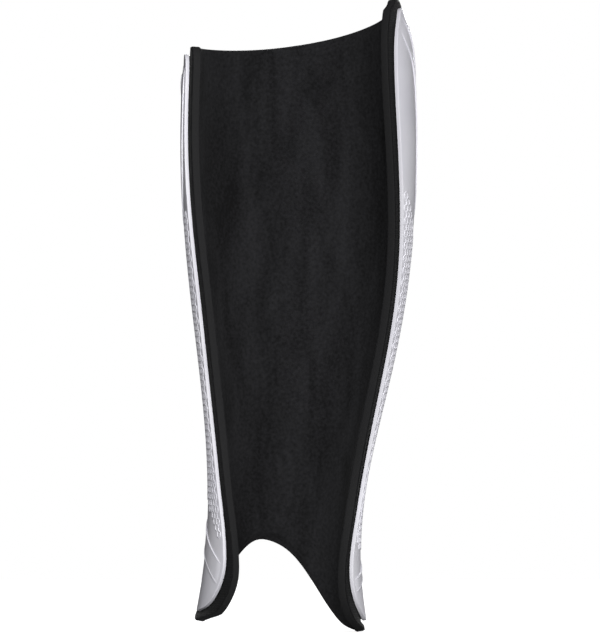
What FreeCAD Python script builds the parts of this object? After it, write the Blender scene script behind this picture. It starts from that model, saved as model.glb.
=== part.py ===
"""Field shin guard for one leg: a hard outer shell with a removable padded liner held in it by hook and loop.

Frame: millimetres. +Z runs up the leg towards the knee, +Y points forward past the shin, and +X is to the
wearer's right. The Z axis is the axis of the leg, and Z = 0 is the lowest point of the guard.

Every layer is a loft through level sections of the leg, one at each station. A section is a C, open to the
rear: an outer arc, an inner arc and two short ends. Arcs are named by how far they lie inside the shell's
outer face.
"""

import FreeCAD, Part
import math
import os

Vector = FreeCAD.Vector

# ---------------------------------------------------------------- driving sizes

# Stations of the leg form, on the shell's outer face: name, height as a share of the guard's length,
# half width, half depth, and how far the oval's centre lies to the right of and in front of the leg's axis.
STATIONS = [
    ("foot", -0.03, 46.5, 43.5, -5.5, 12.5),
    ("ankle", 0.08, 40.5, 40.0, -4.2, 9.0),
    ("low_shin", 0.21, 39.4, 39.0, -2.0, 6.5),
    ("mid_shin", 0.37, 46.0, 43.0, 2.0, 4.5),
    ("low_calf", 0.53, 54.0, 48.0, 4.2, 3.0),
    ("calf", 0.68, 58.3, 51.0, 4.5, 2.0),
    ("high_calf", 0.84, 58.6, 51.0, 4.4, 1.5),
    ("knee", 0.94, 56.6, 49.5, 3.7, 1.5),
    ("crown", 1.02, 52.5, 47.5, 1.0, 2.0),
]

# Heights of the liner's two ends round the leg: angle from +X in degrees, height in millimetres.
CROWN_LINE = [
    (-60, 318.5),
    (-15, 316.6),
    (5, 313.4),
    (30, 306.8),
    (60, 299.5),
    (90, 294.8),
    (120, 292.6),
    (150, 292.3),
    (180, 292.6),
    (240, 292.6),
]
FOOT_LINE = [
    (-60, 0.0),
    (0, 0.0),
    (24, 0.1),
    (40, 0.9),
    (51, 3.6),
    (58, 8.2),
    (64, 13.5),
    (70, 19.8),
    (78, 28.3),
    (90, 38.4),
    (104, 44.2),
    (112, 44.8),
    (120, 41.8),
    (129, 35.0),
    (140, 25.5),
    (154, 13.0),
    (168, 5.8),
    (184, 5.2),
    (240, 5.2),
]

# The free edges of the two wings seen from the side: height, and how far in front of the leg's axis.
RIGHT_EDGE = [
    (-6.0, 20.0),
    (-1.0, 9.0),
    (3.0, 1.0),
    (8.5, -5.0),
    (16.0, -8.8),
    (26.0, -9.8),
    (38.0, -8.0),
    (52.0, -4.2),
    (66.0, -2.2),
    (90.0, -4.6),
    (116.0, -9.0),
    (166.0, -14.6),
    (216.0, -21.6),
    (262.0, -25.9),
    (286.0, -25.3),
    (300.0, -22.2),
    (307.0, -18.6),
    (311.5, -15.0),
    (314.5, -11.8),
    (317.0, -6.0),
    (321.0, 4.0),
]
LEFT_EDGE = [
    (1.0, 20.0),
    (4.0, 9.0),
    (5.8, 1.0),
    (8.0, -8.0),
    (12.0, -13.0),
    (17.0, -16.0),
    (26.0, -18.4),
    (38.0, -18.0),
    (52.0, -16.0),
    (66.0, -13.4),
    (90.0, -10.8),
    (116.0, -10.2),
    (166.0, -13.4),
    (216.0, -12.4),
    (262.0, -10.2),
    (282.0, -10.0),
    (289.0, -8.5),
    (294.0, -4.0),
    (300.0, 4.0),
]

# Hook pads stuck inside the shell: name, angle from +X in degrees, height as a share of the length.
HOOK_PADS = [
    ("hook_pad_knee", 100, 0.83),
    ("hook_pad_calf_right", 14, 0.72),
    ("hook_pad_calf_left", 166, 0.68),
    ("hook_pad_shin", 88, 0.46),
    ("hook_pad_ankle_right", 30, 0.19),
    ("hook_pad_ankle_left", 148, 0.21),
]

ARC_POINTS = 11

SIZES = [
    ("guard_length", 316.0, "liner, end to end"),
    ("drawn_length", 316.0, "length at which the end lines and free edges are drawn"),
    ("shell_wall", 2.2, "moulded shell"),
    ("hook_pad_height", 1.0, "hook pad and its adhesive, which sets the gap behind the shell"),
    ("backing_cloth", 0.6, "loop cloth on the liner's outer face"),
    ("foam_height", 3.6, "closed-cell foam core"),
    ("suede_cloth", 0.5, "brushed cloth on the liner's inner face"),
    ("crown_show", 4.0, "liner that stands above the shell"),
    ("foot_show", 5.6, "liner that stands below the shell"),
    ("side_show", 0.5, "liner that stands behind the shell's free edges"),
    ("pad_length", 44.0, "hook pad, up the leg"),
    ("pad_width", 24.0, "hook pad, round the leg"),
    ("pad_corner", 5.0, "hook pad's corner radius"),
    ("arc_overrun", 62.0, "degrees that a section's arcs run on behind the sides of the leg"),
    ("clear_reach", 110.0, "cutters reach this far from the leg's axis"),
    ("core_reach", 10.0, "end cutters start this far from the leg's axis"),
]
STATION_SIZES = ("share", "half_width", "half_depth", "right_shift", "front_shift")
for station in STATIONS:
    for kind, value in zip(STATION_SIZES, station[1:]):
        SIZES.append((f"{station[0]}_{kind}", value, f"{station[0]} station"))

doc = FreeCAD.newDocument("shin_guard")
sheet = doc.addObject("Spreadsheet::Sheet", "sizes")
for row, (alias, value, note) in enumerate(SIZES, 1):
    sheet.set(f"A{row}", alias)
    sheet.set(f"B{row}", str(value))
    sheet.set(f"C{row}", note)
    sheet.setAlias(f"B{row}", alias)
doc.recompute()


def size(alias):
    """The value of one cell of the sheet."""
    return float(sheet.get(alias))


def add(kind, name, **links):
    """A document object of that kind, with its properties set."""
    made = doc.addObject(kind, name)
    for key, value in links.items():
        setattr(made, key, value)
    return made


def fixed(name, shape):
    """A document object that holds a shape worked out from the sheet."""
    return add("Part::Feature", name, Shape=shape)


# ---------------------------------------------------------------- the leg form


def arc(name, inset):
    """The level arc of one station, moved in by inset, from the right wing round the front to the left."""
    across = size(f"{name}_half_width") - inset
    along = size(f"{name}_half_depth") - inset
    overrun = size("arc_overrun")
    points = []
    for step in range(ARC_POINTS):
        turn = math.radians((180 + 2 * overrun) * step / (ARC_POINTS - 1) - overrun)
        points.append(
            Vector(
                size(f"{name}_right_shift") + across * math.cos(turn),
                size(f"{name}_front_shift") + along * math.sin(turn),
                size(f"{name}_share") * size("guard_length"),
            )
        )
    curve = Part.BSplineCurve()
    curve.interpolate(Points=points, Parameters=[float(step) for step in range(ARC_POINTS)])
    return curve.toShape(), points[0], points[-1]


def layer(name, outer, inner):
    """A sleeve round the leg, open to the rear, between two insets."""
    sections = []
    for station in STATIONS:
        outer_arc, outer_right, outer_left = arc(station[0], outer)
        inner_arc, inner_right, inner_left = arc(station[0], inner)
        left_end = Part.makeLine(outer_left, inner_left)
        right_end = Part.makeLine(inner_right, outer_right)
        outline = Part.Wire([outer_arc, left_end, inner_arc, right_end])
        sections.append(fixed(f"{name}_{station[0]}", outline))
    return add("Part::Loft", name, Sections=sections, Solid=True, Ruled=False)


# ---------------------------------------------------------------- the outline


def end_cutter(name, line, rise, direction):
    """Everything above or below an end line. The line is followed at two distances from the leg's axis, so the
    cut face runs straight out from the leg."""
    scale = size("guard_length") / size("drawn_length")
    curves = []
    for place, reach in (("near", size("core_reach")), ("far", size("clear_reach"))):
        points = []
        for angle, height in line:
            turn = math.radians(angle)
            points.append(Vector(reach * math.cos(turn), reach * math.sin(turn), height * scale + rise))
        curve = Part.BSplineCurve()
        curve.interpolate(Points=points, Parameters=[float(angle) for angle, _ in line])
        curves.append(fixed(f"{name}_{place}", curve.toShape()))
    face = add("Part::RuledSurface", f"{name}_face", Curve1=(curves[0], ["Edge1"]), Curve2=(curves[1], ["Edge1"]))
    cutter = add("Part::Extrusion", name, Base=face, Dir=Vector(0, 0, direction), Solid=True)
    cutter.DirMode = "Custom"
    cutter.setExpression("LengthFwd", "sizes.clear_reach")
    return cutter


def edge_cutter(name, edge, foot_rise, crown_drop, forward, direction):
    """Everything behind the free edge of one wing."""
    scale = size("guard_length") / size("drawn_length")
    span = size("guard_length")
    squeeze = (span - foot_rise - crown_drop) / span
    points = []
    for height, depth in edge:
        points.append(Vector(0, depth + forward, foot_rise + height * scale * squeeze))
    curve = Part.BSplineCurve()
    curve.interpolate(Points=points)
    far = size("clear_reach")
    corners = [
        points[-1],
        Vector(0, points[-1].y, span + far),
        Vector(0, -far, span + far),
        Vector(0, -far, -far),
        Vector(0, points[0].y, -far),
        points[0],
    ]
    lines = [Part.makeLine(a, b) for a, b in zip(corners, corners[1:])]
    outline = fixed(f"{name}_outline", Part.Wire([curve.toShape(), *lines]))
    cutter = add("Part::Extrusion", name, Base=outline, Dir=Vector(direction, 0, 0), Solid=True)
    cutter.DirMode = "Custom"
    cutter.setExpression("LengthFwd", "sizes.clear_reach")
    return cutter


def envelope(name, foot_rise, crown_drop, forward):
    """The block of space that a layer is kept in: between its end lines and in front of its free edges."""
    block = add("Part::Box", f"{name}_block")
    block.setExpression("Length", "2 * sizes.clear_reach")
    block.setExpression("Width", "2 * sizes.clear_reach")
    block.setExpression("Height", "sizes.guard_length + sizes.clear_reach")
    block.setExpression("Placement.Base.x", "-sizes.clear_reach")
    block.setExpression("Placement.Base.y", "-sizes.clear_reach")
    block.setExpression("Placement.Base.z", "-sizes.clear_reach / 2")
    cutters = [
        end_cutter(f"{name}_above", CROWN_LINE, -crown_drop, 1),
        end_cutter(f"{name}_below", FOOT_LINE, foot_rise, -1),
        edge_cutter(f"{name}_right", RIGHT_EDGE, foot_rise, crown_drop, forward, 1),
        edge_cutter(f"{name}_left", LEFT_EDGE, foot_rise, crown_drop, forward, -1),
    ]
    kept = block
    for step, cutter in enumerate(cutters, 1):
        kept = add("Part::Cut", f"{name}_cut_{step}", Base=kept, Tool=cutter)
    return kept


def piece(label, stock, space):
    """One sub-part: the stock that lies inside the space."""
    made = add("Part::Common", label, Base=stock, Tool=space)
    made.Label = label
    return made


# ---------------------------------------------------------------- the sub-parts

# How far each face lies inside the shell's outer face.
SHELL_INNER = size("shell_wall")
BACKING_OUTER = SHELL_INNER + size("hook_pad_height")
FOAM_OUTER = BACKING_OUTER + size("backing_cloth")
SUEDE_OUTER = FOAM_OUTER + size("foam_height")
SUEDE_INNER = SUEDE_OUTER + size("suede_cloth")

shell_space = envelope("shell_space", size("foot_show"), size("crown_show"), size("side_show"))
liner_space = envelope("liner_space", 0.0, 0.0, 0.0)

shell = piece("shell", layer("shell_stock", 0.0, SHELL_INNER), shell_space)
loop_backing = piece("loop_backing", layer("backing_stock", BACKING_OUTER, FOAM_OUTER), liner_space)
foam_core = piece("foam_core", layer("foam_stock", FOAM_OUTER, SUEDE_OUTER), liner_space)
suede_lining = piece("suede_lining", layer("suede_stock", SUEDE_OUTER, SUEDE_INNER), liner_space)


def hook_pad(label, angle, share, gap):
    """A pad with round corners in the gap behind the shell, cut by a block that points straight out."""
    block = add("Part::Box", f"{label}_block")
    block.setExpression("Length", "sizes.clear_reach")
    block.setExpression("Width", "sizes.pad_width")
    block.setExpression("Height", "sizes.pad_length")
    turn = FreeCAD.Rotation(Vector(0, 0, 1), angle)
    corner = turn.multVec(Vector(0, -size("pad_width") / 2, 0))
    corner.z = share * size("guard_length") - size("pad_length") / 2
    block.Placement = FreeCAD.Placement(corner, turn)
    doc.recompute()
    outward = turn.multVec(Vector(1, 0, 0))
    rounded = add("Part::Fillet", f"{label}_rounded", Base=block)
    corners = []
    for number, edge in enumerate(block.Shape.Edges, 1):
        run = edge.Vertexes[1].Point - edge.Vertexes[0].Point
        if abs(run.normalize().dot(outward)) > 0.99:
            corners.append((number, size("pad_corner"), size("pad_corner")))
    rounded.Edges = corners
    return piece(label, gap, rounded)


pad_gap = layer("pad_gap", SHELL_INNER, BACKING_OUTER)
pads = [hook_pad(label, angle, share, pad_gap) for label, angle, share in HOOK_PADS]

# ---------------------------------------------------------------- check and write

SUBPARTS = [shell, loop_backing, foam_core, suede_lining, *pads]

doc.recompute()
for made in doc.Objects:
    if {"Invalid", "Error"} & set(made.State):
        raise SystemExit(f"{made.Name} failed: {made.State}")
for made in SUBPARTS:
    if made.Shape.isNull() or not made.Shape.isValid() or made.Shape.Volume <= 0:
        raise SystemExit(f"{made.Label} has no valid shape")

os.makedirs("parts", exist_ok=True)
for made in SUBPARTS:
    print(f"{made.Label}: {len(made.Shape.Solids)} solid, {made.Shape.Volume / 1000:.2f} cm3")
    made.Shape.exportStep(f"parts/{made.Label}.step")
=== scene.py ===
"""Field shin guard for one leg: a white moulded shell over a removable liner of black foam.

Every piece is drawn flat, on the unrolled leg, and then wrapped round it. On the flat drawing x runs along
the skin from the middle of the shin towards the wearer's left, y runs up the leg, and z stands out from the
shell's outer face, so the layers of the liner lie at negative z.
"""

import math

import bpy
import numpy as np
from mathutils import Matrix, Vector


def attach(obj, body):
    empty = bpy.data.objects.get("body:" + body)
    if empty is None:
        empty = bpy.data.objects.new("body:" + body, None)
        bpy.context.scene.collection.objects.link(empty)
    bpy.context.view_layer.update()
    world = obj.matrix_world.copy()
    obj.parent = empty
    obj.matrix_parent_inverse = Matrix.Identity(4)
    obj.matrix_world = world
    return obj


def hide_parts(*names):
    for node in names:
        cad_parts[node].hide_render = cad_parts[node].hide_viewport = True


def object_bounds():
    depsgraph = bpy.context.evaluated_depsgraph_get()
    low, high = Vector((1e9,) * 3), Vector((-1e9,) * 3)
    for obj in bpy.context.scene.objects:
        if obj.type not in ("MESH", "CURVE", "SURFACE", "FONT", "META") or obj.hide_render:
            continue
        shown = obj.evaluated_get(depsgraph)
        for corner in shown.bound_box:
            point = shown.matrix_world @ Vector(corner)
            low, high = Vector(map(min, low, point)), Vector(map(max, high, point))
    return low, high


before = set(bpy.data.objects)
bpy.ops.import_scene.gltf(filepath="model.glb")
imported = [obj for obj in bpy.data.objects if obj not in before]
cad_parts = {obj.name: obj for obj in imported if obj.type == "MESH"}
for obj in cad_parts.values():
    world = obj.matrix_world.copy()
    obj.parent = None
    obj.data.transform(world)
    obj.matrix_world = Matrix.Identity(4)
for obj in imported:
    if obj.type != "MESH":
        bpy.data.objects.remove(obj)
CAD_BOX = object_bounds()
MM = 0.001

# ---------------------------------------------------------------- sizes, in millimetres

SHELL_WALL = 2.2
SHELL_RIM_ROUND = 0.8
# The shell's plain face lies this far from the CAD outer face, so that the relief evens out about it.
SHELL_GROUND = -0.3

HOOK_PAD_HEIGHT = 1.0
HOOK_PAD_CORNER = 5
HOOK_PAD_EDGE_ROUND = 0.2
HOOK_PAD_STRIPS = 8

BACKING_CLOTH = 0.6
BACKING_INSET = 0.3
FOAM_HEIGHT = 3.6
FOAM_EDGE_ROUND = 0.7
SUEDE_CLOTH = 0.5
SUEDE_INSET = 0.35

# Honeycomb: rows and columns of cells, and the ridges between them.
CELL_ROW = 3.12
CELL_COLUMN = CELL_ROW / 1.5 * math.sqrt(3)
FIELD_COLUMNS = 28
FIELD_TO_RIM = 1.5
RIDGE_WIDTH = 0.75
RIDGE_CREST = 0.35
RIDGE_HEIGHT = 0.35
RIDGE_ROOT = 0.06

# Other relief: its roots in the shell, and how it dies away by the shell's edges.
RELIEF_ROOT = 0.3
RELIEF_TO_RIM = 0.9
RELIEF_FADE = 4.5
SUNK_DEPTH = 0.1
TIER_RISE = 0.65
TIER_SOFT_EDGE = 0.4
TIER_FADE = 16
TIER_TO_CROWN = 1.5
BAND_RISE = 0.35
BAND_BEAD_RISE = 0.2
BAND_BEAD_WIDTH = 0.9

# How far the liner stands out past the shell's ends, and over what run. The foot's flare is smaller on the
# wearer's right, and changes over FLARE_CHANGE round the shin.
FOOT_FLARE = 3.0
RIGHT_FOOT_FLARE = 1.4
CROWN_FLARE = 2.2
FLARE_RUN = 3
FLARE_CHANGE = 40

# Lines drawn on the unrolled shell, each from the wearer's right to the left: (round the leg, up the leg).
FIELD_TOP = [(-116, 222.6), (-106, 211.8), (-98, 202.4), (-86, 193), (-70, 183), (-45, 167), (-20, 149)]
FIELD_TOP += [(0, 140), (20, 149), (45, 168), (68, 188), (84, 205), (100, 213)]
FIELD_FOOT = [(-100, 47), (-76, 45), (-58, 43), (-40, 52), (-20, 71), (0, 86), (8, 89)]
FIELD_FOOT += [(30, 84), (50, 75), (64, 68), (75, 60.5), (84, 51), (100, 40)]
BAND_TOP = [(-80, 25), (-58, 32), (-40, 44), (-20, 63), (0, 78), (8, 80)]
BAND_TOP += [(30, 73), (54, 58.5), (78, 43.8), (100, 29.8)]
BAND_FOOT = [(-80, 19), (-58, 27), (-40, 37), (-20, 54), (0, 68), (8, 70)]
BAND_FOOT += [(30, 62), (54, 47.5), (82, 31.8), (100, 20.5)]
# The two tiers of the knee shield: down the wearer's right side, along the foot and up the left side.
TIERS = [
    {
        "name": "lower_tier",
        "right": [(-107, 301), (-103, 293), (-97, 286), (-93, 275), (-91, 257), (-90, 235), (-88, 218)],
        "foot": [
            *((-80, 203), (-66, 191), (-45, 173), (-20, 155), (0, 147)),
            *((20, 155), (45, 174), (64, 192), (78, 205)),
        ],
        "left": [(86, 219), (89, 232), (90, 250), (90, 268), (89, 280)],
    },
    {
        "name": "upper_tier",
        "right": [(-101, 307), (-96, 302), (-92.5, 294), (-88, 284), (-82, 272)],
        "foot": [
            *((-72, 257), (-58, 243), (-40, 228), (-20, 216), (0, 211)),
            *((20, 216), (38, 227), (54, 241), (66, 255)),
        ],
        "left": [(75, 268), (81, 278)],
    },
]

# ---------------------------------------------------------------- the leg, read from the frame

FIT_ANGLES, FIT_HEIGHTS = 8, 9
SWEEP = math.radians(135)
HEIGHT_MARGIN = 12 * MM
LOW = CAD_BOX[0].z
HIGH = CAD_BOX[1].z


def node_triangles(name):
    """The corners of a CAD node's triangles, as an array of triangle by corner by coordinate."""
    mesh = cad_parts[name].data
    mesh.calc_loop_triangles()
    places = np.empty(len(mesh.vertices) * 3)
    mesh.vertices.foreach_get("co", places)
    corners = np.empty(len(mesh.loop_triangles) * 3, dtype=int)
    mesh.loop_triangles.foreach_get("vertices", corners)
    return places.reshape(-1, 3)[corners].reshape(-1, 3, 3)


def outer_face(name):
    """The triangles of a CAD node that look away from the leg."""
    triangles = node_triangles(name)
    facing = np.cross(triangles[:, 1] - triangles[:, 0], triangles[:, 2] - triangles[:, 0])
    facing /= np.linalg.norm(facing, axis=1)[:, None] + 1e-20
    outward = triangles.mean(axis=1) * (1, 1, 0)
    outward /= np.linalg.norm(outward, axis=1)[:, None]
    return triangles[(facing * outward).sum(axis=1) > 0.6]


def fit_terms(angle, height):
    """The polynomials that the leg's form is made of, at each angle and height."""
    level = (height - LOW) / (HIGH - LOW) * 2 - 1
    return np.polynomial.chebyshev.chebvander2d(angle / SWEEP, level / 1.08, [FIT_ANGLES, FIT_HEIGHTS])


def angle_of(places):
    """Angle round the leg from straight ahead, positive towards the wearer's left."""
    return np.arctan2(-places[:, 0], places[:, 1])


skin_places = outer_face("shell").reshape(-1, 3)
skin_reach = np.hypot(skin_places[:, 0], skin_places[:, 1])
FORM = np.linalg.lstsq(fit_terms(angle_of(skin_places), skin_places[:, 2]), skin_reach, rcond=1e-9)[0]


def skin(angle, height):
    """Places on the shell's outer face."""
    reach = fit_terms(angle, height) @ FORM
    return np.stack([-reach * np.sin(angle), reach * np.cos(angle), height], axis=-1)


# How far along the skin each angle lies from the middle of the shin, at each of a ladder of heights.
ANGLES = np.linspace(-SWEEP, SWEEP, 541)
LADDER = np.linspace(LOW - HEIGHT_MARGIN, HIGH + HEIGHT_MARGIN, 121)
RUNS = []
for rung in LADDER:
    row = skin(ANGLES, np.full_like(ANGLES, rung))
    run = np.concatenate([[0], np.cumsum(np.linalg.norm(np.diff(row, axis=0), axis=1))])
    RUNS.append(run - np.interp(0, ANGLES, run))
RUNS = np.array(RUNS)


def along_ladder(height, value, from_run):
    """Turns runs along the skin into angles, or angles into runs, between the ladder's two nearest rungs."""
    place = np.clip((height - LADDER[0]) / (LADDER[1] - LADDER[0]), 0, len(LADDER) - 1.001)
    rung = place.astype(int)
    result = np.empty_like(value)
    for number in np.unique(rung):
        here = rung == number
        pair = []
        for run in RUNS[number : number + 2]:
            known, wanted = (run, ANGLES) if from_run else (ANGLES, run)
            pair.append(np.interp(value[here], known, wanted))
        share = place[here] - number
        result[here] = pair[0] * (1 - share) + pair[1] * share
    return result


def wrapped(flat):
    """Where places on the flat drawing come to lie round the leg, and the leg's directions there."""
    angle = along_ladder(flat[:, 1], flat[:, 0], from_run=True)
    height = flat[:, 1]
    turn, climb = 0.002, 0.2 * MM
    across = skin(angle + turn, height) - skin(angle - turn, height)
    up = skin(angle, height + climb) - skin(angle, height - climb)
    across /= np.linalg.norm(across, axis=1)[:, None]
    up /= np.linalg.norm(up, axis=1)[:, None]
    outward = np.cross(across, up)
    outward /= np.linalg.norm(outward, axis=1)[:, None]
    return skin(angle, height) + outward * flat[:, 2:3], across, up, outward


def unrolled(places):
    """The flat drawing's places for places round the leg: a first guess, then four corrections."""
    height = places[:, 2]
    across = along_ladder(height, angle_of(places), from_run=False)
    flat = np.stack([across, height, np.zeros(len(places))], axis=1)
    for _ in range(4):
        here, across, up, outward = wrapped(flat)
        miss = places - here
        flat += np.stack([(miss * way).sum(axis=1) for way in (across, up, outward)], axis=1)
    return flat


# ---------------------------------------------------------------- outlines on the flat drawing


def resampled(line, count):
    """A line of points, spaced evenly along its length."""
    steps = np.linalg.norm(np.diff(line, axis=0), axis=1)
    length = np.concatenate([[0], np.cumsum(steps)])
    even = np.linspace(0, length[-1], count)
    return np.stack([np.interp(even, length, line[:, k]) for k in range(2)], axis=1)


def smooth_line(points, count=160):
    """A smooth line through a few drawn points, given in millimetres."""
    knots = np.array(points, dtype=float) * MM
    knots = np.vstack([2 * knots[0] - knots[1], knots, 2 * knots[-1] - knots[-2]])
    line = []
    for a, b, c, d in zip(knots, knots[1:], knots[2:], knots[3:]):
        t = np.linspace(0, 1, 24, endpoint=False)[:, None]
        bend, twist = 2 * a - 5 * b + 4 * c - d, 3 * b - a - 3 * c + d
        line.append(0.5 * (2 * b + (c - a) * t + bend * t**2 + twist * t**3))
    line.append(knots[-2:-1])
    return resampled(np.vstack(line), count)


def face_edge(name):
    """The edge of a CAD node's outer face on the flat drawing, as one closed line, anticlockwise."""
    triangles = outer_face(name)
    places, corner = np.unique(np.round(triangles.reshape(-1, 3), 6), axis=0, return_inverse=True)
    corner = corner.reshape(-1, 3)
    edges = np.sort(np.vstack([corner[:, [0, 1]], corner[:, [1, 2]], corner[:, [2, 0]]]), axis=1)
    edges, uses = np.unique(edges, axis=0, return_counts=True)
    neighbours = {}
    for a, b in edges[uses == 1]:
        neighbours.setdefault(a, []).append(b)
        neighbours.setdefault(b, []).append(a)
    first = min(neighbours)
    loop = [first, neighbours[first][0]]
    while loop[-1] != first:
        ahead = [n for n in neighbours[loop[-1]] if n != loop[-2]]
        loop.append(ahead[0])
    line = unrolled(places[loop[:-1]])[:, :2]
    turn = np.roll(line, -1, axis=0)
    clockwise = (line[:, 0] * turn[:, 1] - turn[:, 0] * line[:, 1]).sum() < 0
    return line[::-1] if clockwise else line


def four_sides(line):
    """A closed line as four sides that meet at its corners: foot and crown from the wearer's right to the
    left, right and left from the foot up."""
    spread = line / (line.max(axis=0) - line.min(axis=0))
    starts = [int(np.argmax(spread @ way)) for way in ((-1, -1), (1, -1), (1, 1), (-1, 1))]
    sides = []
    for start, end in zip(starts, starts[1:] + starts[:1]):
        turned = np.roll(line, -start, axis=0)
        sides.append(turned[: (end - start) % len(line) + 1])
    foot, left, crown, right = sides
    return {"foot": foot, "crown": crown[::-1], "right": right[::-1], "left": left}


def moved_in(line, distance):
    """A closed line, each point moved towards the inside of it."""
    ahead = np.roll(line, -1, axis=0) - np.roll(line, 1, axis=0)
    ahead /= np.linalg.norm(ahead, axis=1)[:, None]
    return line + np.stack([-ahead[:, 1], ahead[:, 0]], axis=1) * distance


SHELL_EDGE = resampled(face_edge("shell"), 1200)
FOAM_EDGE = resampled(face_edge("foam_core"), 1200)
SHELL_SIDES = four_sides(SHELL_EDGE)
FOAM_SIDES = four_sides(FOAM_EDGE)

# ---------------------------------------------------------------- modelling by hand

SHARP = math.radians(50)


def start_drawing():
    """Nothing selected, so that an operator acts on the new piece only."""
    if bpy.context.object and bpy.context.object.mode != "OBJECT":
        bpy.ops.object.mode_set(mode="OBJECT")
    bpy.ops.object.select_all(action="DESELECT")


def only(piece):
    """Makes one piece the selected and active one."""
    start_drawing()
    piece.select_set(True)
    bpy.context.view_layer.objects.active = piece


def places_of(piece):
    """The places of a piece's vertices, as an array."""
    places = np.empty(len(piece.data.vertices) * 3)
    piece.data.vertices.foreach_get("co", places)
    return places.reshape(-1, 3)


def put(piece, places):
    """Moves a piece's vertices to those places."""
    piece.data.vertices.foreach_set("co", places.astype(np.float32).ravel())
    piece.data.update()


def apply(piece, kind, **settings):
    """Adds a modifier and applies it."""
    only(piece)
    modifier = piece.modifiers.new(kind.lower(), kind)
    for key, value in settings.items():
        setattr(modifier, key, value)
    bpy.ops.object.modifier_apply(modifier=modifier.name)


def flat_patch(name, sides, columns, rows):
    """A flat grid stretched to fill four sides."""
    start_drawing()
    bpy.ops.mesh.primitive_grid_add(
        x_subdivisions=columns, y_subdivisions=rows, size=1, location=(0.5, 0.5, 0), enter_editmode=False
    )
    bpy.ops.object.transform_apply(location=True)
    patch = bpy.context.object
    patch.name = patch.data.name = name
    share = places_of(patch)
    u, v = share[:, 0:1], share[:, 1:2]

    def on(side, along):
        line = resampled(sides[side], 400)
        even = np.linspace(0, 1, len(line))
        return np.stack([np.interp(along[:, 0], even, line[:, k]) for k in range(2)], axis=1)

    foot, crown, right, left = on("foot", u), on("crown", u), on("right", v), on("left", v)
    foot_right, foot_left = sides["foot"][0], sides["foot"][-1]
    crown_right, crown_left = sides["crown"][0], sides["crown"][-1]
    flat = foot * (1 - v) + crown * v + right * (1 - u) + left * u
    at_foot = foot_right * (1 - u) * (1 - v) + foot_left * u * (1 - v)
    flat -= at_foot + crown_right * (1 - u) * v + crown_left * u * v
    put(patch, np.column_stack([flat, np.zeros(len(flat))]))
    return patch


def round_edges(piece, width, steps):
    """Rounds the edges that are sharper than SHARP."""
    apply(piece, "BEVEL", width=width * MM, segments=steps, limit_method="ANGLE", angle_limit=SHARP)


def thicken(piece, top, wall, soft_edge, steps=3):
    """Makes a flat patch a slab whose upper face is at height top, with its edges rounded."""
    put(piece, places_of(piece) + (0, 0, top * MM))
    apply(piece, "SOLIDIFY", thickness=wall * MM, offset=-1)
    round_edges(piece, soft_edge, steps)


def wrap(piece):
    """Bends a flat piece round the leg, and keeps its flat drawing, in millimetres, as its UV map."""
    flat = places_of(piece)
    if not piece.data.uv_layers:
        piece.data.uv_layers.new(name="UVMap")
    corner = np.empty(len(piece.data.loops), dtype=int)
    piece.data.loops.foreach_get("vertex_index", corner)
    piece.data.uv_layers[0].data.foreach_set("uv", (flat[corner, :2] / MM).astype(np.float32).ravel())
    put(piece, wrapped(flat)[0])
    only(piece)
    bpy.ops.object.shade_smooth()


def joined(name, pieces):
    """Several meshes as one piece."""
    only(pieces[0])
    for piece in pieces[1:]:
        piece.select_set(True)
    bpy.ops.object.join()
    pieces[0].name = pieces[0].data.name = name
    return pieces[0]


def handed_over(piece, node, material):
    """Gives a finished piece its material and its body, and hides the CAD node that it takes the place of."""
    piece.data.materials.clear()
    piece.data.materials.append(material)
    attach(piece, "root")
    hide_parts(node)


# ---------------------------------------------------------------- materials


def hex_colour(code):
    """An sRGB hex colour as the linear colour that a socket takes."""
    parts = [int(code[k : k + 2], 16) / 255 for k in (1, 3, 5)]
    return (*[c / 12.92 if c <= 0.04045 else ((c + 0.055) / 1.055) ** 2.4 for c in parts], 1.0)


def node(tree, kind, links=(), stops=(), **settings):
    """Adds a shader node. A setting names an input socket or, failing that, a property of the node. A link is
    (input socket, other node, its output socket). Stops are a colour ramp's: (position, sRGB hex colour)."""
    made = tree.nodes.new(kind)
    for number, (position, colour) in enumerate(stops):
        made.color_ramp.elements[number].position = position
        made.color_ramp.elements[number].color = hex_colour(colour)
    for key, value in settings.items():
        socket = next((s for s in made.inputs if s.name.replace(" ", "_").lower() == key and s.enabled), None)
        if socket is not None:
            socket.default_value = value
        else:
            setattr(made, key, value)
    for socket, other, output in links:
        tree.links.new(other.outputs[output], made.inputs[socket])
    return made


def new_material(name, colour, roughness, **settings):
    """A material with one Principled shader, and its node tree."""
    material = bpy.data.materials.new(name)
    material.use_nodes = True
    tree = material.node_tree
    tree.nodes.clear()
    settings = {"base_color": hex_colour(colour), "roughness": roughness, **settings}
    shader = node(tree, "ShaderNodeBsdfPrincipled", **settings)
    node(tree, "ShaderNodeOutputMaterial", [("Surface", shader, "BSDF")])
    return material, tree, shader


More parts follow.
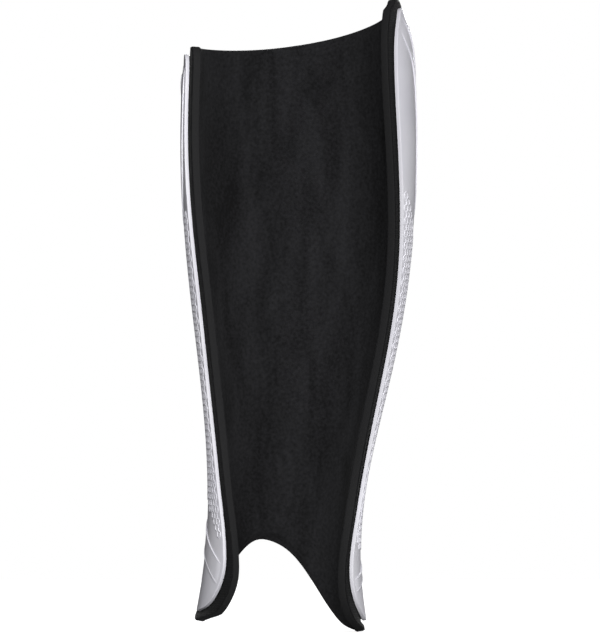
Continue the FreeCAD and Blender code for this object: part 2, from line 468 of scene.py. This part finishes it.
def moulded_white_plastic():
    """Injection-moulded polypropylene: a cool white, satin, with a very fine spark-eroded grain and faint
    flow marks that only show in the sheen."""
    material, tree, shader = new_material("moulded_white_polypropylene", "#e4e3ea", 0.36, ior=1.49)
    place = node(tree, "ShaderNodeTexCoord")
    flow = node(tree, "ShaderNodeTexNoise", [("Vector", place, "Object")], scale=28, detail=3, roughness=0.5)
    whites = [(0.3, "#dddce4"), (0.75, "#e9e8ee")]
    tint = node(tree, "ShaderNodeValToRGB", [("Fac", flow, "Fac")], stops=whites)
    tree.links.new(tint.outputs["Color"], shader.inputs["Base Color"])
    # The grain of the mould is about 0.3 mm.
    grain = node(tree, "ShaderNodeTexNoise", [("Vector", place, "Object")], scale=1 / (0.3 * MM), detail=2)
    sheen = node(tree, "ShaderNodeMapRange", [("Value", flow, "Fac")], to_min=0.30, to_max=0.44)
    tree.links.new(sheen.outputs["Result"], shader.inputs["Roughness"])
    bump = node(tree, "ShaderNodeBump", [("Height", grain, "Fac")], strength=0.12, distance=0.05 * MM)
    tree.links.new(bump.outputs["Normal"], shader.inputs["Normal"])
    return material


def brushed_suede():
    """Brushed microfibre: deep black, with a short nap that lies one way in some patches and the other way in
    the next, so the face is mottled."""
    sheen = {"sheen_weight": 0.03, "sheen_roughness": 0.5, "specular_ior_level": 0.1}
    material, tree, shader = new_material("brushed_black_microfibre", "#161617", 0.95, **sheen)
    place = node(tree, "ShaderNodeTexCoord")
    # Hand-sized strokes of the nap, longer up the leg than across it.
    stretch = node(tree, "ShaderNodeMapping", [("Vector", place, "UV")], scale=(1 / 18, 1 / 60, 1))
    drawn = [("Vector", stretch, "Vector")]
    strokes = node(tree, "ShaderNodeTexNoise", drawn, scale=1, detail=4, distortion=0.6)
    clump = node(tree, "ShaderNodeTexNoise", [("Vector", place, "Object")], scale=1 / (1.6 * MM), detail=3)
    both = [("A", strokes, "Fac"), ("B", clump, "Fac")]
    mixed = node(tree, "ShaderNodeMix", both, data_type="FLOAT", factor=0.45)
    blacks = [(0.36, "#151516"), (0.66, "#2a2a2c")]
    colour = node(tree, "ShaderNodeValToRGB", [("Fac", mixed, "Result")], stops=blacks)
    tree.links.new(colour.outputs["Color"], shader.inputs["Base Color"])
    # Single fibres are far too fine to show, so they are drawn as tufts 0.35 mm wide.
    tufts = node(tree, "ShaderNodeTexNoise", [("Vector", place, "Object")], scale=1 / (0.35 * MM), detail=4)
    both = [("A", tufts, "Fac"), ("B", clump, "Fac")]
    height = node(tree, "ShaderNodeMix", both, data_type="FLOAT", factor=0.5)
    bump = node(tree, "ShaderNodeBump", [("Height", height, "Result")], strength=0.4, distance=0.25 * MM)
    tree.links.new(bump.outputs["Normal"], shader.inputs["Normal"])
    return material


def die_cut_foam():
    """Closed-cell EVA foam: black, dull, with the cut-open cells showing as fine pits along its edge. Each
    pit is painted darker at its bottom: painted shade.
    """
    material, tree, shader = new_material("die_cut_black_eva_foam", "#1a1a1b", 0.8, specular_ior_level=0.2)
    place = node(tree, "ShaderNodeTexCoord")
    cells = node(tree, "ShaderNodeTexVoronoi", [("Vector", place, "Object")], scale=1 / (0.5 * MM))
    # Painted shade: the colour is darker where the pits are deepest and lighter on the cell walls between
    # them.
    blacks = [(0.0, "#1a1a1b"), (0.9, "#222223")]
    colour = node(tree, "ShaderNodeValToRGB", [("Fac", cells, "Distance")], stops=blacks)
    tree.links.new(colour.outputs["Color"], shader.inputs["Base Color"])
    bump = node(tree, "ShaderNodeBump", [("Height", cells, "Distance")], strength=0.35, distance=0.12 * MM)
    tree.links.new(bump.outputs["Normal"], shader.inputs["Normal"])
    return material


def knitted_loop_cloth():
    """Brushed tricot: rows of knitted loops, black, slightly shiny where the loops turn over. The gaps
    between the loops are painted darker: painted shade.
    """
    sheen = {"sheen_weight": 0.06, "sheen_roughness": 0.4, "specular_ior_level": 0.15}
    material, tree, shader = new_material("knitted_black_loop_cloth", "#141415", 0.9, **sheen)
    place = node(tree, "ShaderNodeTexCoord")
    # Loops are 0.9 mm apart round the leg and 1.2 mm apart up it.
    courses = node(tree, "ShaderNodeMapping", [("Vector", place, "UV")], scale=(1 / 0.9, 1 / 1.2, 1))
    loops = node(tree, "ShaderNodeTexVoronoi", [("Vector", courses, "Vector")], scale=1, randomness=0.25)
    # Painted shade: the colour is lighter on the raised loops and darker in the gaps between them.
    blacks = [(0.1, "#1b1b1c"), (0.7, "#0d0d0e")]
    colour = node(tree, "ShaderNodeValToRGB", [("Fac", loops, "Distance")], stops=blacks)
    tree.links.new(colour.outputs["Color"], shader.inputs["Base Color"])
    raised = {"strength": 0.7, "distance": 0.3 * MM, "invert": True}
    bump = node(tree, "ShaderNodeBump", [("Height", loops, "Distance")], **raised)
    tree.links.new(bump.outputs["Normal"], shader.inputs["Normal"])
    return material


def woven_hook_tape():
    """Nylon hook tape: black, glossy, with straight rows of small stiff hooks. The hooks are painted lighter
    and the gaps between them darker: painted highlights and painted shade.
    """
    material, tree, shader = new_material("woven_black_nylon_hook_tape", "#1d1d20", 0.45, ior=1.53)
    place = node(tree, "ShaderNodeTexCoord")
    # Hooks stand 1.1 mm apart in rows 1.4 mm apart.
    rows = node(tree, "ShaderNodeMapping", [("Vector", place, "UV")], scale=(1 / 1.1, 1 / 1.4, 1))
    hooks = node(tree, "ShaderNodeTexVoronoi", [("Vector", rows, "Vector")], scale=1, randomness=0)
    # Painted highlights and shade: the colour is lighter on the raised hooks and darker between them.
    blacks = [(0.15, "#38383c"), (0.55, "#121214")]
    colour = node(tree, "ShaderNodeValToRGB", [("Fac", hooks, "Distance")], stops=blacks)
    tree.links.new(colour.outputs["Color"], shader.inputs["Base Color"])
    raised = {"strength": 0.9, "distance": 0.5 * MM, "invert": True}
    bump = node(tree, "ShaderNodeBump", [("Height", hooks, "Distance")], **raised)
    tree.links.new(bump.outputs["Normal"], shader.inputs["Normal"])
    return material


# ---------------------------------------------------------------- the shell


def height_on(line, across):
    """How high a line lies at those distances round the leg."""
    return np.interp(across, line[:, 0], line[:, 1])


def rims_at(height):
    """How far round the leg the shell's right and left rims lie at those heights."""
    rims = [SHELL_SIDES[side] for side in ("right", "left")]
    return [np.interp(height, rim[:, 1], rim[:, 0]) for rim in rims]


def room_to_rim(flat):
    """How far those places are from the nearer rim of the shell."""
    right, left = rims_at(flat[:, 1])
    return np.minimum(flat[:, 0] - right, left - flat[:, 0])


def along_rims(flat):
    """Draws the even lattice in or out, row by row, so that its outermost columns follow the shell's rims."""
    right, left = rims_at(flat[:, 1])
    room = np.where(flat[:, 0] < 0, -right, left) - FIELD_TO_RIM * MM
    moved = flat.copy()
    moved[:, 0] *= room / (FIELD_COLUMNS * CELL_COLUMN * MM)
    return moved


def in_field(centres):
    """Which cells of the even lattice lie inside the honeycomb's field."""
    across, up = along_rims(centres).T
    # Alternate rows end a whole and a half column inside the lattice's outermost column.
    inside = np.abs(centres[:, 0]) < (FIELD_COLUMNS - 0.4) * CELL_COLUMN * MM
    top, foot = smooth_line(FIELD_TOP), smooth_line(FIELD_FOOT)
    return inside & (up < height_on(top, across)) & (up > height_on(foot, across))


def honeycomb():
    """Ridges round hexagonal cells: one cell with its half of each ridge, repeated over the field."""
    radius, column, row = CELL_ROW / 1.5 * MM, CELL_COLUMN * MM, CELL_ROW * MM
    lowest, highest = min(y for _, y in FIELD_FOOT) * MM, max(y for _, y in FIELD_TOP) * MM
    columns = 2 * FIELD_COLUMNS + 1
    rows = int((highest - lowest) / (2 * row)) + 2
    first = -FIELD_COLUMNS * column

    start_drawing()
    corner = (first, lowest, (SHELL_GROUND + RIDGE_HEIGHT) * MM)
    bpy.ops.mesh.primitive_circle_add(vertices=6, radius=radius, fill_type="NGON", location=corner)
    bpy.ops.object.transform_apply(location=True)
    cell = bpy.context.object
    bpy.ops.object.mode_set(mode="EDIT")
    bpy.ops.mesh.select_all(action="SELECT")
    bpy.ops.mesh.inset(thickness=RIDGE_CREST / 2 * MM)
    slope = (RIDGE_WIDTH - RIDGE_CREST) / 2 * MM
    bpy.ops.mesh.inset(thickness=slope, depth=-(RIDGE_HEIGHT + RIDGE_ROOT) * MM)
    bpy.ops.mesh.delete(type="FACE")
    bpy.ops.mesh.select_all(action="SELECT")
    bpy.ops.mesh.duplicate_move(TRANSFORM_OT_translate={"value": (column / 2, row, 0)})
    bpy.ops.object.mode_set(mode="OBJECT")
    for count, step in ((columns, (column, 0, 0)), (rows, (0, 2 * row, 0))):
        offset = {"use_relative_offset": False, "use_constant_offset": True, "constant_offset_displace": step}
        apply(cell, "ARRAY", count=count, **offset)

    # Each face goes with the cell whose middle is nearest: one lattice of middles, or the other between it.
    centres = np.empty(len(cell.data.polygons) * 3)
    cell.data.polygons.foreach_get("center", centres)
    centres = centres.reshape(-1, 3)[:, :2]
    middles = []
    for shift in ((0, 0), (column / 2, row)):
        start = np.array([first + shift[0], lowest + shift[1]])
        middles.append(start + np.round((centres - start) / (column, 2 * row)) * (column, 2 * row))
    away = [np.linalg.norm(centres - middle, axis=1) for middle in middles]
    outside = ~in_field(np.where((away[0] < away[1])[:, None], middles[0], middles[1]))

    only(cell)
    bpy.ops.object.mode_set(mode="EDIT")
    bpy.ops.mesh.select_all(action="DESELECT")
    bpy.ops.object.mode_set(mode="OBJECT")
    cell.data.polygons.foreach_set("select", outside)
    bpy.ops.object.mode_set(mode="EDIT")
    bpy.ops.mesh.select_mode(type="FACE")
    bpy.ops.mesh.delete(type="FACE")
    bpy.ops.mesh.select_all(action="SELECT")
    bpy.ops.mesh.remove_doubles(threshold=0.02 * MM)
    # The outermost ridges get a flank down to the shell's face.
    bpy.ops.mesh.select_mode(type="EDGE")
    bpy.ops.mesh.select_all(action="DESELECT")
    bpy.ops.mesh.select_non_manifold(extend=False)
    bpy.ops.object.mode_set(mode="OBJECT")
    heights = places_of(cell)[:, 2]
    ends = np.empty(len(cell.data.edges) * 2, dtype=int)
    cell.data.edges.foreach_get("vertices", ends)
    chosen = np.empty(len(cell.data.edges), dtype=bool)
    cell.data.edges.foreach_get("select", chosen)
    crest = (heights[ends.reshape(-1, 2)] > (SHELL_GROUND + RIDGE_HEIGHT * 0.9) * MM).all(axis=1)
    cell.data.vertices.foreach_set("select", np.zeros(len(cell.data.vertices), dtype=bool))
    cell.data.edges.foreach_set("select", chosen & crest)
    bpy.ops.object.mode_set(mode="EDIT")
    down = {"value": (0, 0, -(RIDGE_HEIGHT + RIDGE_ROOT) * MM)}
    bpy.ops.mesh.extrude_edges_move(TRANSFORM_OT_translate=down)
    bpy.ops.object.mode_set(mode="OBJECT")
    put(cell, along_rims(places_of(cell)))
    return cell


def smooth_step(value):
    """A smooth rise from 0 to 1."""
    value = np.clip(value, 0, 1)
    return value * value * (3 - 2 * value)


def sink(flat, room, run, rise):
    """Lowers relief to the shell's face where it has no more room, over a short run."""
    flat[:, 2] -= (rise + SUNK_DEPTH) * MM * (1 - smooth_step(room / (run * MM)))


def tier_plate(tier, level):
    """One tier of the knee shield: a thin plate that stands on the shell and fades out into its crown."""
    outline = smooth_line(tier["right"] + tier["foot"] + tier["left"], 600)
    ends = [np.argmin(np.linalg.norm(outline - np.array(tier["foot"][k]) * MM, axis=1)) for k in (0, -1)]
    across = np.linspace(outline[0, 0], outline[-1, 0], 200)
    crown = np.stack([across, height_on(SHELL_SIDES["crown"], across) - TIER_TO_CROWN * MM], axis=1)
    ease = np.linspace(0, 1, 200)
    crown[:, 1] += (outline[0, 1] - crown[0, 1]) * (1 - ease) ** 8 + (outline[-1, 1] - crown[-1, 1]) * ease**8
    sides = {
        "foot": outline[ends[0] : ends[1] + 1],
        "crown": crown,
        "right": outline[ends[0] :: -1],
        "left": outline[ends[1] :],
    }
    plate = flat_patch(tier["name"], sides, 96, 56)
    thicken(plate, SHELL_GROUND + level * TIER_RISE, TIER_RISE + RELIEF_ROOT, TIER_SOFT_EDGE)
    flat = places_of(plate)
    sink(flat, height_on(SHELL_SIDES["crown"], flat[:, 0]) - flat[:, 1], TIER_FADE, level * TIER_RISE)
    put(plate, flat)
    return plate


def strip(name, low, high, rise, soft_edge, rows):
    """A raised strip across the shell between two lines, which dies away just inside the shell's rim."""
    trimmed = [resampled(line[room_to_rim(line) > RELIEF_TO_RIM * MM], 200) for line in (low, high)]
    sides = {"foot": trimmed[0], "crown": trimmed[1]}
    sides["right"] = np.stack([trimmed[0][0], trimmed[1][0]])
    sides["left"] = np.stack([trimmed[0][-1], trimmed[1][-1]])
    piece = flat_patch(name, sides, 160, rows)
    thicken(piece, SHELL_GROUND + rise, rise + RELIEF_ROOT, soft_edge, steps=2)
    flat = places_of(piece)
    sink(flat, room_to_rim(flat) - RELIEF_TO_RIM * MM, RELIEF_FADE, rise)
    put(piece, flat)
    return piece


def beside(line, distance):
    """A line moved sideways."""
    ahead = np.gradient(line, axis=0)
    ahead /= np.linalg.norm(ahead, axis=1)[:, None]
    return line + np.stack([-ahead[:, 1], ahead[:, 0]], axis=1) * distance


wall = flat_patch("shell_wall", SHELL_SIDES, 100, 170)
thicken(wall, SHELL_GROUND, SHELL_WALL + SHELL_GROUND, SHELL_RIM_ROUND, steps=4)
relief = [honeycomb()]
relief += [tier_plate(tier, level) for level, tier in enumerate(TIERS, 1)]
band_low, band_high = smooth_line(BAND_FOOT), smooth_line(BAND_TOP)
relief.append(strip("ankle_band", band_low, band_high, BAND_RISE, soft_edge=0.25, rows=8))
half, bead_rise = BAND_BEAD_WIDTH / 2 * MM, BAND_RISE + BAND_BEAD_RISE
for name, line in (("band_foot_bead", band_low), ("band_top_bead", band_high)):
    relief.append(strip(name, beside(line, -half), beside(line, half), bead_rise, soft_edge=0.3, rows=3))
for piece in [wall, *relief]:
    wrap(piece)
shell = joined("moulded_shell", [wall, *relief])
handed_over(shell, "shell", moulded_white_plastic())

# ---------------------------------------------------------------- the liner


def falling_away(side):
    """One end line of the shell, held level beyond the tips of the wings."""
    line = SHELL_SIDES[side].copy()
    sign = -1 if side == "foot" else 1
    middle = len(line) // 2
    for half in (line[middle:], line[middle::-1]):
        half[:, 1] = sign * np.maximum.accumulate(sign * half[:, 1])
    return line


LAST_FOOT, LAST_CROWN = falling_away("foot"), falling_away("crown")


def flare(piece):
    """Lets a layer of the liner stand out where it is past the shell's foot and crown, and so free of it."""
    flat = places_of(piece)
    below = height_on(LAST_FOOT, flat[:, 0]) - flat[:, 1]
    above = flat[:, 1] - height_on(LAST_CROWN, flat[:, 0])
    to_left = smooth_step(flat[:, 0] / (FLARE_CHANGE * MM) + 0.5)
    foot_flare = RIGHT_FOOT_FLARE + (FOOT_FLARE - RIGHT_FOOT_FLARE) * to_left
    flat[:, 2] += foot_flare * MM * smooth_step(below / (FLARE_RUN * MM))
    flat[:, 2] += CROWN_FLARE * MM * smooth_step(above / (FLARE_RUN * MM))
    put(piece, flat)


backing_top = -(SHELL_WALL + HOOK_PAD_HEIGHT)
foam_top = backing_top - BACKING_CLOTH
suede_top = foam_top - FOAM_HEIGHT

backing = flat_patch("liner_loop_backing", four_sides(moved_in(FOAM_EDGE, BACKING_INSET * MM)), 80, 140)
thicken(backing, backing_top, BACKING_CLOTH, 0.15, steps=2)
foam = flat_patch("liner_foam_core", FOAM_SIDES, 90, 150)
thicken(foam, foam_top, FOAM_HEIGHT, FOAM_EDGE_ROUND, steps=4)
suede = flat_patch("liner_suede_lining", four_sides(moved_in(FOAM_EDGE, SUEDE_INSET * MM)), 90, 150)
thicken(suede, suede_top, SUEDE_CLOTH, 0.2, steps=2)
for piece in (backing, foam, suede):
    flare(piece)
    wrap(piece)
handed_over(backing, "loop_backing", knitted_loop_cloth())
handed_over(foam, "foam_core", die_cut_foam())
handed_over(suede, "suede_lining", brushed_suede())

# ---------------------------------------------------------------- the hook pads

hook_tape = woven_hook_tape()
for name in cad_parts:
    if not name.startswith("hook_pad"):
        continue
    flat = unrolled(node_triangles(name).reshape(-1, 3))
    middle = (flat.min(axis=0) + flat.max(axis=0)) / 2
    span = flat.max(axis=0) - flat.min(axis=0)
    start_drawing()
    block = (span[0], span[1], HOOK_PAD_HEIGHT * MM)
    bpy.ops.mesh.primitive_cube_add(size=1, location=middle, scale=block)
    bpy.ops.object.transform_apply(location=True, scale=True)
    pad = bpy.context.object
    pad.name = pad.data.name = f"{name}_tape"
    bpy.ops.object.mode_set(mode="EDIT")
    bpy.ops.mesh.select_all(action="DESELECT")
    bpy.ops.object.mode_set(mode="OBJECT")
    for edge in pad.data.edges:
        ends = [pad.data.vertices[k].co for k in edge.vertices]
        edge.select = abs(ends[0].z - ends[1].z) > 0.5 * HOOK_PAD_HEIGHT * MM
    bpy.ops.object.mode_set(mode="EDIT")
    bpy.ops.mesh.bevel(offset=HOOK_PAD_CORNER * MM, segments=6)
    # Cut into strips both ways, so that it can bend.
    for along, away in ((0, (1, 0, 0)), (1, (0, 1, 0))):
        for step in range(1, HOOK_PAD_STRIPS):
            cut = middle.copy()
            cut[along] += span[along] * (step / HOOK_PAD_STRIPS - 0.5)
            bpy.ops.mesh.select_all(action="SELECT")
            bpy.ops.mesh.bisect(plane_co=cut, plane_no=away)
    bpy.ops.object.mode_set(mode="OBJECT")
    round_edges(pad, HOOK_PAD_EDGE_ROUND, 2)
    wrap(pad)
    handed_over(pad, name, hook_tape)

# ---------------------------------------------------------------- floor, light and camera

start_drawing()
bpy.ops.mesh.primitive_plane_add(size=1.2, location=(0, 0, -0.5 * MM))
floor = bpy.context.object
floor.name = "floor"
# The paper is lit from below, so it looks as white as the studio behind it and keeps only a faint shadow.
# Its own colour is a middle grey, so it throws little light back up at the guard.
paper, tree, shader = new_material("back_lit_paper", "#a0a0a0", 0.9, emission_color=hex_colour("#ffffff"))
seen = node(tree, "ShaderNodeLightPath")
glow = node(tree, "ShaderNodeMapRange", [("Value", seen, "Is Camera Ray")], to_min=0.0, to_max=0.92)
tree.links.new(glow.outputs["Result"], shader.inputs["Emission Strength"])
floor.data.materials.append(paper)

world = bpy.data.worlds.new("white_studio")
bpy.context.scene.world = world
world.use_nodes = True
tree = world.node_tree
tree.nodes.clear()
ray = node(tree, "ShaderNodeLightPath")
seen = node(tree, "ShaderNodeBackground", color=(1, 1, 1, 1), strength=1.0)
lit = node(tree, "ShaderNodeBackground", color=(0.95, 0.96, 1.0, 1), strength=0.02)
mix = node(tree, "ShaderNodeMixShader", [("Fac", ray, "Is Camera Ray")])
tree.links.new(lit.outputs["Background"], mix.inputs[1])
tree.links.new(seen.outputs["Background"], mix.inputs[2])
node(tree, "ShaderNodeOutputWorld", [("Surface", mix, "Shader")])


def soft_light(name, place, size, power):
    """A square soft box that looks at the middle of the guard."""
    data = bpy.data.lights.new(name, "AREA")
    data.size, data.energy = size, power
    lamp = bpy.data.objects.new(name, data)
    bpy.context.scene.collection.objects.link(lamp)
    lamp.location = place
    middle = (CAD_BOX[0] + CAD_BOX[1]) / 2
    lamp.rotation_euler = (middle - lamp.location).to_track_quat("-Z", "Y").to_euler()


soft_light("key_box", (0.1, -2.3, 0.5), 0.9, 37)
soft_light("high_box", (0, -1.9, 1.5), 0.9, 18)
soft_light("right_box", (1.9, -0.7, 0.3), 0.8, 10)
soft_light("front_box", (0.3, 2.3, 0.9), 0.9, 42)
soft_light("top_box", (0.2, 0.2, 2.0), 1.2, 3)

# The camera looks level at the guard's open side, and its picture takes in PICTURE_HEIGHT metres at the leg.
CAMERA_DISTANCE = 3.0
PICTURE_HEIGHT = 0.3165
camera = bpy.data.objects.new("camera", bpy.data.cameras.new("camera"))
bpy.context.scene.collection.objects.link(camera)
bpy.context.scene.camera = camera
camera.data.sensor_width = 36
camera.data.lens = camera.data.sensor_width * CAMERA_DISTANCE / PICTURE_HEIGHT
camera.location = (0.005, -CAMERA_DISTANCE, 0.15775)
camera.rotation_euler = (math.radians(90), 0, 0)
camera.data.clip_end = 20
bpy.context.scene.view_settings.view_transform = "Standard"
